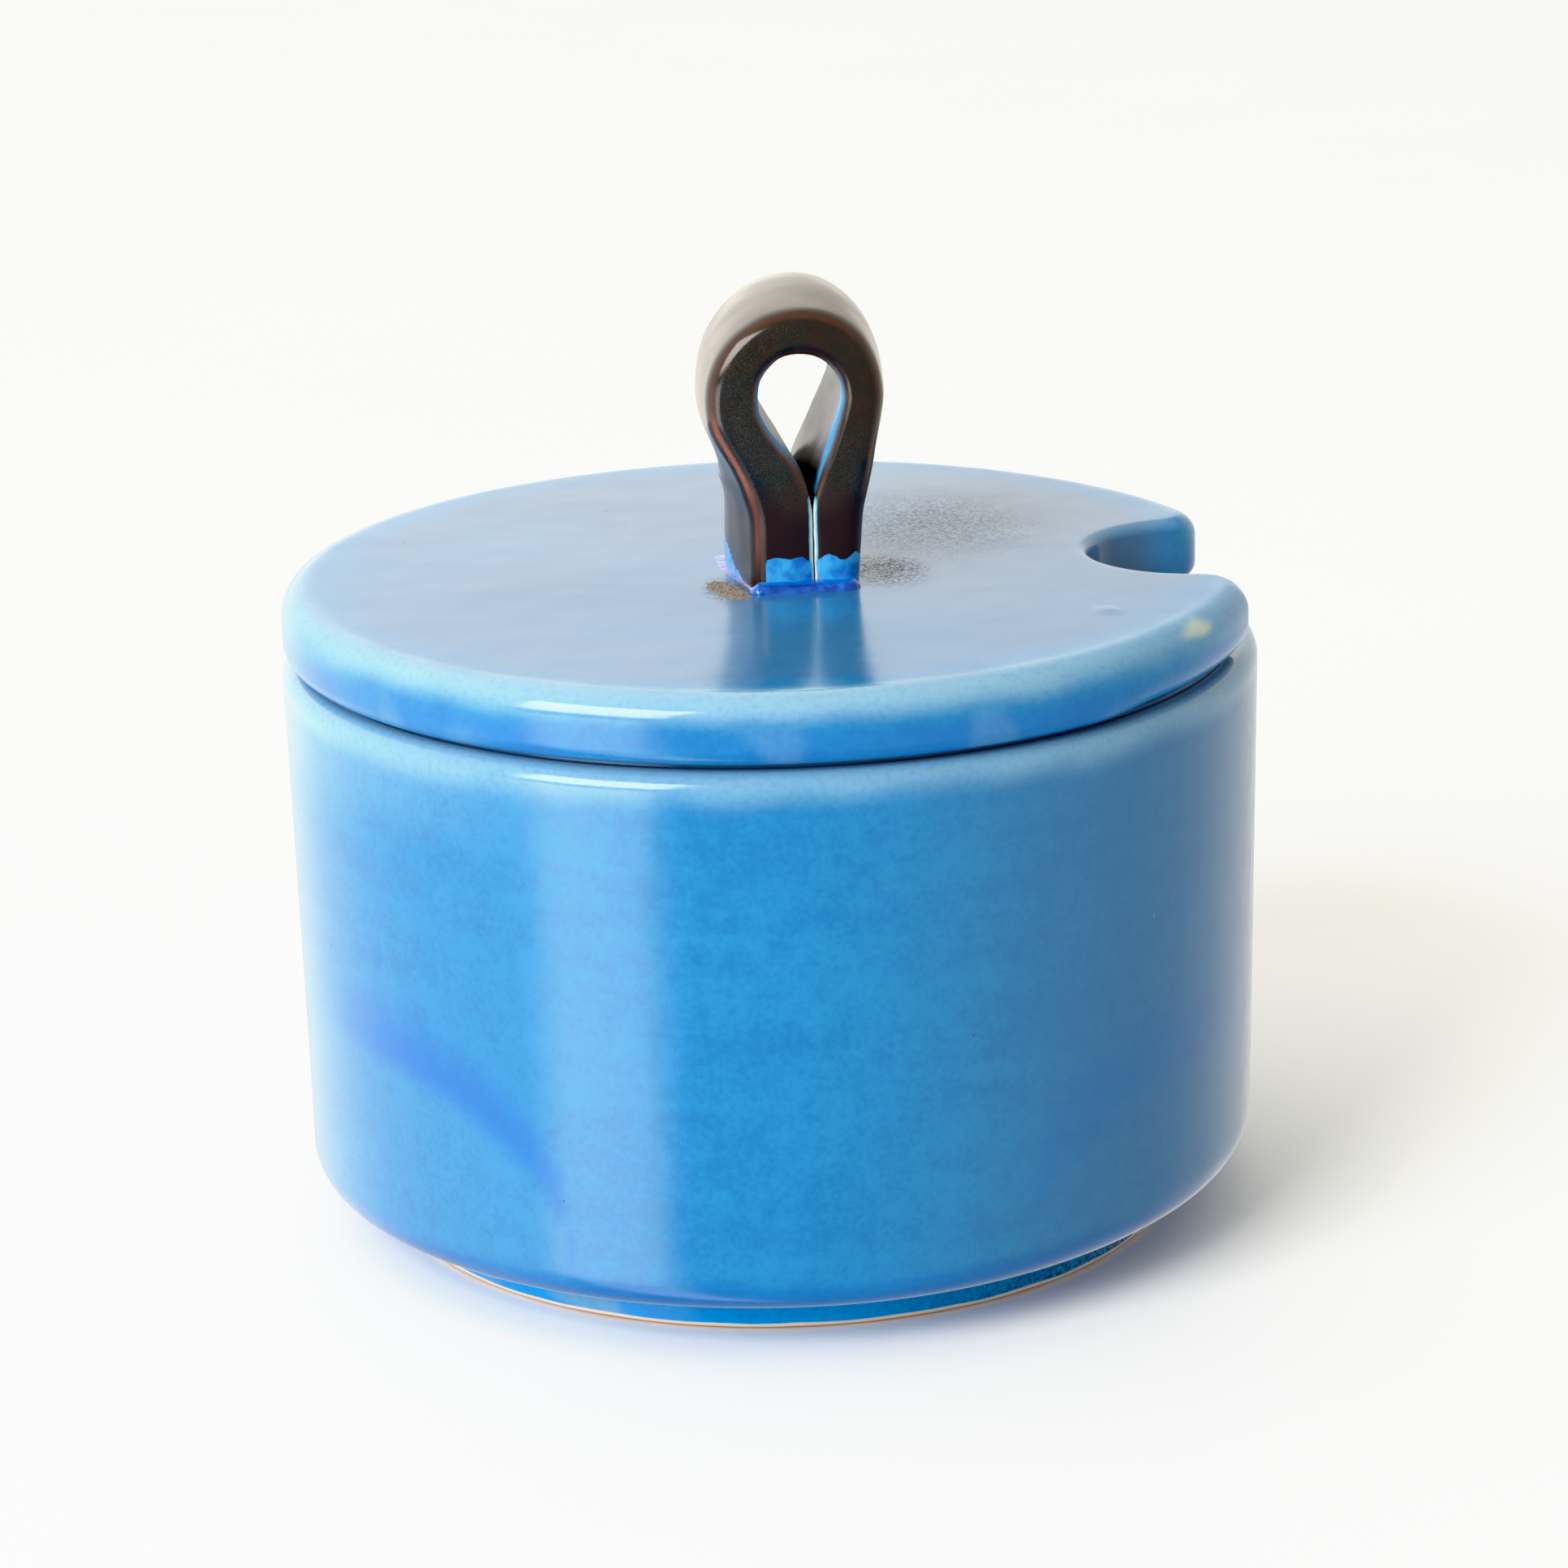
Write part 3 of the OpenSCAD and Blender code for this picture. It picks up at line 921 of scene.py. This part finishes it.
def strap_row(t):
    """One section of the strap as points, and for each its (outward share, height over the loop's middle)."""
    here = [c * MM for c in spline(STRAP, t)]
    outward = strap_outward(t)
    in_leg = smooth(VERTEX_Z + 6 * MM, VERTEX_Z - 1 * MM, here[1])
    half_w = HANDLE_DEPTH / 2
    points, traits = [], []
    for share, rounding, y in strap_section((1.2 - 0.95 * in_leg) * MM):
        back = smooth(-half_w, half_w, y)
        x, z, thickness = [here[i] + here[i + 3] * back for i in range(3)]
        out = thickness / 2 * share + rounding
        out_share = out / (thickness / 2)
        across = 1 - (y / half_w) ** 2
        out += OUTER_CROWN * across * smooth(0.1, 1.0, out_share)
        side = smooth(half_w - 3 * MM, half_w - 0.5 * MM, abs(y)) * (1 - min(abs(out_share), 1) ** 2)
        y += math.copysign(SIDE_PILLOW * side, y)
        wobble = 0.1 * MM * wander(x + outward.x * out, y, z + outward.z * out, 5 * MM, 2.2)
        out += wobble * (1 - in_leg * smooth(0.2, -0.6, out_share))
        height = z + outward.z * out
        points.append((HANDLE_X + x + outward.x * out, HANDLE_Y + y, LOOP_Z + height))
        traits.append((out_share, height))
    return points, traits


class StrapPoint:
    """A point on the strap with the measures that its masks share.

    t runs along the strap, out_share over its thickness, and height is over the loop's middle.
    """

    def __init__(self, t, x, y, z, out_share, height):
        self.t, self.x, self.y, self.z = t, x, y, z
        self.out_share, self.height = out_share, height
        self.left = t < 0.5
        self.from_front = y - HANDLE_FRONT
        self.up = z - LID_TOP
        self.face = smooth(1.9 * MM, 0.9 * MM, self.from_front)
        self.ragged = 0.25 * MM * self.wander(1.6 * MM, 1.3)
        self.above_vertex = smooth(VERTEX_Z - 0.5 * MM, VERTEX_Z + 0.8 * MM, height)
        to_outer = (1 - out_share) * 3 * MM
        off_corner = abs(to_outer - self.from_front + 0.3 * MM + 0.5 * self.ragged)
        self.outer_edge = smooth(0.9 * MM, 0.3 * MM, off_corner)
        self.outer_edge *= smooth(2.4 * MM, 1.6 * MM, max(to_outer, self.from_front))

    def wander(self, size, seed):
        return wander(self.x, self.y, self.z, size, seed)


def strap_edges(p):
    """Copper on the left outer edge, rust on the other edges, and the redder legs below the opening."""
    to_inner = (1 + p.out_share) * 3 * MM
    inner_edge = smooth(1.1 * MM, 0.3 * MM, to_inner + p.ragged) * smooth(2.2 * MM, 1.0 * MM, p.from_front)
    low_left = smooth(-1 * MM, -5 * MM, p.height + 1.2 * MM * p.wander(2.5 * MM, 2.7)) if p.left else 0.0
    leg = smooth(VERTEX_Z + 2.5 * MM, VERTEX_Z - 1.5 * MM, p.height + 3 * p.ragged)
    copper = p.outer_edge * low_left * (1 - 0.6 * leg) * smooth(0.5 * MM, 6.5 * MM, p.up)
    rust = max(0.5 * p.outer_edge * (1 - low_left), 0.5 * inner_edge) * p.above_vertex
    return {"leg": leg, "copper": copper, "rust": rust}


def strap_inside(p):
    """The blue lip, and a pale grey painted reflection low on the inner sides of the opening."""
    inner_side = smooth(-0.75, -0.95, p.out_share) * p.above_vertex
    lip = inner_side * smooth(4 * MM, 0.5 * MM, p.height) * smooth(0.9 * MM, 1.3 * MM, p.from_front)
    lip *= smooth(3.6 * MM, 2.2 * MM, p.from_front + 2 * p.ragged)
    inner_sheen = inner_side * smooth(6 * MM, 3 * MM, p.height)
    inner_sheen *= smooth(VERTEX_Z + 3 * MM, VERTEX_Z + 7 * MM, p.height)
    return {"lip": lip, "inner_sheen": inner_sheen}


def strap_flecks(p):
    """Flecks on the front: teal low on both sides, olive elsewhere, fewer on the right."""
    speckled = smooth(VERTEX_Z - 2.5 * MM, VERTEX_Z + 3 * MM, p.height + 1.4 * MM * p.wander(3 * MM, 6.0))
    teal = smooth(5 * MM, 1 * MM, p.height) if p.left else smooth(-3 * MM, -8 * MM, p.height)
    strong = 0.5 + 0.5 * smooth(-0.3, 0.3, p.wander(5 * MM, 9.0))
    strong *= 1 - 0.7 * smooth(0.42, 0.56, p.t) * (1 - teal)
    return {"fleck": p.face * speckled * (1 - 0.8 * p.outer_edge) * strong, "teal": teal}


def strap_base(p):
    """The seam with its crack between the strap's ends, and the blue band round their foot."""
    from_seam = abs(p.x - SEAM_X - 0.12 * MM * wander(0, p.y, p.z, 2 * MM))
    seam = smooth(0.85 * MM, 0.1 * MM, from_seam) * (1 - p.above_vertex) * p.face
    from_crack = abs(p.x - SEAM_X + 0.07 * MM * wander(0, p.y, p.z, 0.8 * MM))
    crack = 0.85 * smooth(0.14 * MM, 0.05 * MM, from_crack) * (1 - p.above_vertex)
    band = BAND_TOP + 0.8 * MM * wander(p.x, p.y, 0, 1.9 * MM) - 0.35 * MM * smooth(2 * MM, 0, from_seam)
    base = smooth(band + 0.4 * MM, band - 0.4 * MM, p.up)
    base *= smooth(1.1 * MM, 1.9 * MM, p.x - (HANDLE_X - 6.1 * MM)) * smooth(2.6 * MM, 1.6 * MM, p.from_front)
    climb = 4.4 * MM * smooth(HANDLE_FRONT + 4 * MM, HANDLE_FRONT + 20 * MM, p.y) + 2 * p.ragged
    rear = smooth(climb + 0.4 * MM, climb - 0.4 * MM, p.up) * smooth(3 * MM, 6 * MM, p.from_front)
    return {"seam": seam, "crack": crack, "base": max(base, rear if p.left else 0.0)}


def strap_top_sheen(p):
    """Painted reflection: a pale grey sheen on the strap's upward-facing top, behind its front edge."""
    top_sheen = smooth(0.7, 1.0, p.out_share) * smooth(0.8 * MM, 2.4 * MM, p.from_front)
    return {"top_sheen": top_sheen * smooth(-9 * MM, -1 * MM, p.height)}


def strap_masks(p):
    """The handle's masks at one point, by name."""
    return {**strap_edges(p), **strap_inside(p), **strap_flecks(p), **strap_base(p), **strap_top_sheen(p)}


def make_handle():
    sections, masks = [], []
    for i in range(STRAP_STEPS + 1):
        t = i / STRAP_STEPS
        row, traits = strap_row(t)
        sections.append(row)
        masks += [strap_masks(StrapPoint(t, *point, *trait)) for point, trait in zip(row, traits)]
    points, faces = sweep_solid(sections)
    solid = points, flipped(faces)
    glaze = iron_glaze("iron_glaze")
    piece = make_piece("strap_handle", solid, glaze, "lid", "dark_brown_glaze", ["handle_loop"])
    # The last two points are the middles of the strap's ends.
    masks += [masks[0], masks[-1]]
    for name in masks[0]:
        store(piece, name, [m[name] for m in masks])


def base_outline():
    """Points and outward angles every 0.4 mm round the strap's two ends, which lean left to the back."""
    half_x, half_y = 6.75 * MM, HANDLE_DEPTH / 2 - 0.3 * MM
    corner = 1.2 * MM
    steps = 6
    outline = []
    for cx, cy, start in ((1, 1, 0), (-1, 1, 90), (-1, -1, 180), (1, -1, 270)):
        turns = [math.radians(start + 90 * i / steps) for i in range(steps + 1)]
        curve = arc(cx * (half_x - corner), cy * (half_y - corner), corner, start, start + 90, steps)
        outline += [(x, y, a) for (x, y), a in zip(curve, turns)]
    spread = []
    for (x, y, a), (x2, y2, a2) in zip(outline, outline[1:] + outline[:1]):
        pieces = max(1, round(math.hypot(x2 - x, y2 - y) / (0.4 * MM)))
        turn = (a2 - a + math.pi) % (2 * math.pi) - math.pi
        for k in range(pieces):
            f = k / pieces
            spread.append((x + (x2 - x) * f, y + (y2 - y) * f, a + turn * f))
    lean = 1.65 * MM
    return [(x + 0.7 * MM - lean * smooth(-half_y, half_y, y), y, a) for x, y, a in spread]


def pool_section(x, y, a):
    """The bead of glaze at one point of the outline, as (outward, up) from under the strap to the lid."""
    hidden, sunk = -1.0 * MM, -0.4 * MM
    front = smooth(-0.3, -0.9, math.sin(a))
    leftward = smooth(-0.3, -0.9, math.cos(a)) * smooth(-9 * MM, -1 * MM, y)
    crinkle = front * wander(x, y, 0, 1.1 * MM, 4.4)
    wide = (0.8 + 1.1 * front + 1.5 * leftward + 0.35 * wander(x, y, 0, 4 * MM, 4.4)) * MM
    wide *= 1 - 0.45 * smooth(0.1, 0.6, math.cos(a))
    tall = (0.5 + 0.8 * front - 0.15 * leftward + 0.1 * crinkle) * MM
    section = [(hidden, sunk), (hidden, tall), (0.0, tall)]
    for k in range(1, 9):
        fall = k / 9
        full = math.sqrt(1 - fall * fall)
        hollow = (1 - fall) ** 2
        section.append((wide * fall, tall * (hollow + (full - hollow) * front)))
    return section + [(wide, 0.0), (wide, sunk)]


def pool_thin(x, y, z):
    """The glaze thins to lavender behind the front."""
    return smooth(HANDLE_FRONT + 0.4 * MM, HANDLE_FRONT + 3 * MM, y)


def pool_crown(x, y, z):
    """The lighter crown of the bead."""
    return 0.8 * smooth(0.75 * MM, 1.1 * MM, z - LID_TOP)


def make_base_pool():
    """The bead of thick glaze round the strap's ends: wide and high in front, a thin skirt elsewhere."""
    sections = []
    for x, y, a in base_outline():
        sections.append([
            (HANDLE_X + x + r * math.cos(a), HANDLE_Y + y + r * math.sin(a), LID_TOP + z - 0.15 * MM)
            for r, z in pool_section(x, y, a)
        ])
    points, rows = numbered(sections)
    solid = points, join_rows(rows + rows[:1])
    glaze = pooled_glaze("pooled_cobalt")
    make_piece(
        "glaze_pool", solid, glaze, "lid", "cobalt_glaze", ["handle_base_coil"],
        thin=pool_thin, crown=pool_crown,
    )


def scab_point(centre, share, a):
    """A point of the rough patch, for a share from 0 at its middle to 1 at its ragged edge."""
    long, wide = 7.4 * MM, 2.7 * MM
    heading = math.radians(-70)
    r = share * (1 + 0.25 * wander(math.cos(a), math.sin(a), 0, 0.8, 6.0))
    u, v = long * r * math.cos(a), wide * r * math.sin(a)
    x = centre.x + u * math.cos(heading) - v * math.sin(heading)
    y = centre.y + u * math.sin(heading) + v * math.cos(heading)
    sideways = 0.45 * MM * r * wander(x, y, 0, 1.2 * MM, 3.0)
    onward = 0.6 * MM * r * wander(x, y, 0, 1.2 * MM, 5.0)
    x, y = x + sideways, y + onward
    rough = 0.22 * MM * wander(x, y, 0, 0.8 * MM) + 0.12 * MM * wander(x, y, 0, 0.35 * MM)
    body = smooth(1.0, 0.45, share)
    return x, y, LID_TOP + lid_swell(x, y) - 0.05 * MM + body * (0.12 * MM + 0.7 * rough)


def make_scab():
    """The rough bare patch beside the handle's front left corner."""
    centre = Vector((HANDLE_X - 9.5 * MM, HANDLE_FRONT + 1.9 * MM))
    rings, spokes = 16, 72
    under = LID_TOP - 0.6 * MM
    circles = []
    for i in range(1, rings + 1):
        circles.append([scab_point(centre, i / rings, 2 * math.pi * j / spokes) for j in range(spokes)])
    circles.append([(x, y, under) for x, y, z in circles[-1]])
    points, rows = numbered(circles)
    points += [(centre.x, centre.y, LID_TOP + 0.2 * MM), (centre.x, centre.y, under)]
    faces = fan_faces(rows[0], len(points) - 2) + flipped(join_rows(rows))
    faces += flipped(fan_faces(rows[-1], len(points) - 1))
    make_piece("bare_patch", (points, faces), scorched_clay("scorched_clay"), "lid", "bare_clay")


make_bowl()
make_foot()
make_seat()
make_lid()
make_ring()
make_handle()
make_base_pool()
make_scab()


# -------- stage, light and camera

# Brightness of the room: the wall behind the camera, the far wall and the share of it on the right, the
# ceiling, the table as it is reflected on the right, on the left and far away, and the foot of the window.
WALL_FRONT = 0.6
WALL_BACK = 1.9
RIGHT_SHARE = 0.55
CEILING = 1.75
TABLE_RIGHT = 0.57
TABLE_LEFT = 1.5
TABLE_FAR = 0.5
WINDOW_FOOT = 3.9

ROOM_WHITE = (1.0, 0.985, 0.9, 1)
ROOM_CREAM = (1.0, 0.94, 0.82, 1)

# The softbox: its direction from the bowl in degrees, +X being 0, then its distance and size in metres, its
# power in watts, and the point that it faces.
KEY_AZIMUTH, KEY_ELEVATION = -137, 30
KEY_DISTANCE = 2.2
KEY_SIZE = (1.34, 1.24)
KEY_POWER = 54
KEY_TARGET = Vector((0, 0, 0.05))

# The camera, fitted to the outlines of the rim, lid and foot in the photograph. Angles are in degrees.
LENS = 120.17
CAMERA_AZIMUTH, CAMERA_ELEVATION = -95.0, 21.07
CAMERA_ROLL = -1.504
CAMERA_DISTANCE = 723.6 * MM
CAMERA_TARGET = Vector((1.45, -0.13, 57.08)) * MM

# The tone curve: what is shown as black, the brightness that it reaches to, and pairs of a brightness in the
# scene and what is shown for it.
BLACK_POINT = 0.012
HIGHLIGHT_TOP = 6.0
SHOULDER = ((0.3, 0.3), (0.6, 0.605), (0.8, 0.8), (0.95, 0.915), (1.2, 0.96), (2.0, 0.985))


def make_floor():
    """A pale matte table, much wider than the view. Reflections see the room's lower half in its place."""
    g = Glaze("table", ior=1.45)
    colour = g.mix(g.span(g.noise(90 * MM), 0.3, 0.7), TABLE_DIM, TABLE_PALE)
    half = 6.0
    mesh = bpy.data.meshes.new("table")
    corners = [(-half, -half, 0), (half, -half, 0), (half, half, 0), (-half, half, 0)]
    mesh.from_pydata(corners, [], [(0, 1, 2, 3)])
    mesh.materials.append(g.finish(colour, 0.6))
    floor = new_object("table", mesh)
    floor.visible_glossy = False


def direction(azimuth_degrees, elevation_degrees):
    """The unit vector from the bowl at these angles, +X being azimuth 0."""
    a, e = math.radians(azimuth_degrees), math.radians(elevation_degrees)
    return Vector((math.cos(a) * math.cos(e), math.sin(a) * math.cos(e), math.sin(e)))


def make_key_light():
    """A softbox at the front left that faces the bowl."""
    lamp = bpy.data.lights.new("key", "AREA")
    lamp.shape = "RECTANGLE"
    lamp.size, lamp.size_y = KEY_SIZE
    lamp.energy = KEY_POWER
    light = new_object("key", lamp)
    offset = direction(KEY_AZIMUTH, KEY_ELEVATION) * KEY_DISTANCE
    light.location = KEY_TARGET + offset
    light.rotation_euler = (-offset).to_track_quat("-Z", "Y").to_euler()


def room_above(g, x, y, z, round_z):
    """The walls, brightest at the back and dimmer on the right, up to the ceiling."""
    walls = g.span(g.math("MULTIPLY_ADD", x, -0.25, y), -0.25, 0.75, WALL_FRONT, WALL_BACK)
    dim_from = g.span(round_z, math.radians(50), math.radians(10), RIGHT_SHARE, 1.0)
    dim_to = g.span(round_z, math.radians(60), math.radians(94), RIGHT_SHARE, 1.0)
    walls = g.times(walls, g.math("MAXIMUM", dim_from, dim_to))
    return g.times(walls, g.span(z, 0.45, 0.95, 1.0, CEILING / WALL_BACK))


def room_below(g, x, y, z, round_z):
    """The table as reflections see it, brighter on the left and far away, with the foot of the window."""
    leftward = g.math("MULTIPLY_ADD", y, 0.25, g.times(x, -1.0))
    table = g.plus(g.span(leftward, 0.2, 0.8, TABLE_RIGHT, TABLE_LEFT), g.span(y, 0.0, 0.7, 0.0, TABLE_FAR))
    window_from = g.span(round_z, math.radians(-157), math.radians(-147))
    window_to = g.span(round_z, math.radians(-127), math.radians(-119.5), 1.0, 0.0)
    window = g.times(g.times(window_from, window_to), WINDOW_FOOT)
    return g.times(g.plus(table, window), g.span(z, -0.7, -0.45, 0.6, 1.0))


def make_world():
    """A white room, brightest behind and to the left, darker on the camera's side.

    The table hides its lower half from all but reflections, where it stands for the table and for
    the foot of the window.
    """
    world = bpy.data.worlds.new("room")
    world.use_nodes = True
    g = Nodes(world.node_tree)
    place = g.nodes.new("ShaderNodeTexCoord").outputs["Generated"]
    x, y, z = g.add("ShaderNodeSeparateXYZ", {"Vector": place}).outputs
    round_z = g.math("ARCTAN2", y, x)
    above = room_above(g, x, y, z, round_z)
    below = room_below(g, x, y, z, round_z)
    strength = g.math("MULTIPLY_ADD", g.span(z, -0.03, 0.03), g.math("SUBTRACT", above, below), below)
    background = g.nodes["Background"]
    g.feed(strength, background.inputs["Strength"])
    g.feed(g.mix(g.span(x, -0.6, 0.8), ROOM_WHITE, ROOM_CREAM), background.inputs["Color"])
    bpy.context.scene.world = world


def make_camera():
    """A long lens a little to the notch's far side, looking down on the lid, with a slight roll."""
    lens = bpy.data.cameras.new("camera")
    lens.sensor_width = 36.0
    lens.lens = LENS
    lens.clip_start = 0.01
    camera = new_object("camera", lens)
    place = CAMERA_DISTANCE * direction(CAMERA_AZIMUTH, CAMERA_ELEVATION)
    roll = math.radians(CAMERA_ROLL)
    away = (place - CAMERA_TARGET).normalized()
    right = Vector((0, 0, 1)).cross(away).normalized()
    up = away.cross(right)
    rolled_right = right * math.cos(roll) + up * math.sin(roll)
    rolled_up = up * math.cos(roll) - right * math.sin(roll)
    matrix = Matrix((rolled_right, rolled_up, away)).transposed().to_4x4()
    matrix.translation = place
    camera.matrix_world = matrix
    bpy.context.scene.camera = camera


def soften_highlights():
    """Rolls the brightest tones off like a camera, so that the lit table stays just short of white."""
    view = bpy.context.scene.view_settings
    view.view_transform = "Standard"
    view.use_curve_mapping = True
    curve = view.curve_mapping
    curve.black_level = (BLACK_POINT, BLACK_POINT, BLACK_POINT)
    curve.white_level = (HIGHLIGHT_TOP, HIGHLIGHT_TOP, HIGHLIGHT_TOP)
    combined = curve.curves[3]
    while len(combined.points) > 2:
        combined.points.remove(combined.points[1])
    combined.points[0].location = (0.0, 0.0)
    combined.points[1].location = (1.0, 1.0)
    for x, y in SHOULDER:
        combined.points.new(x / HIGHLIGHT_TOP, y)
    curve.update()


make_floor()
make_world()
make_key_light()
make_camera()
soften_highlights()
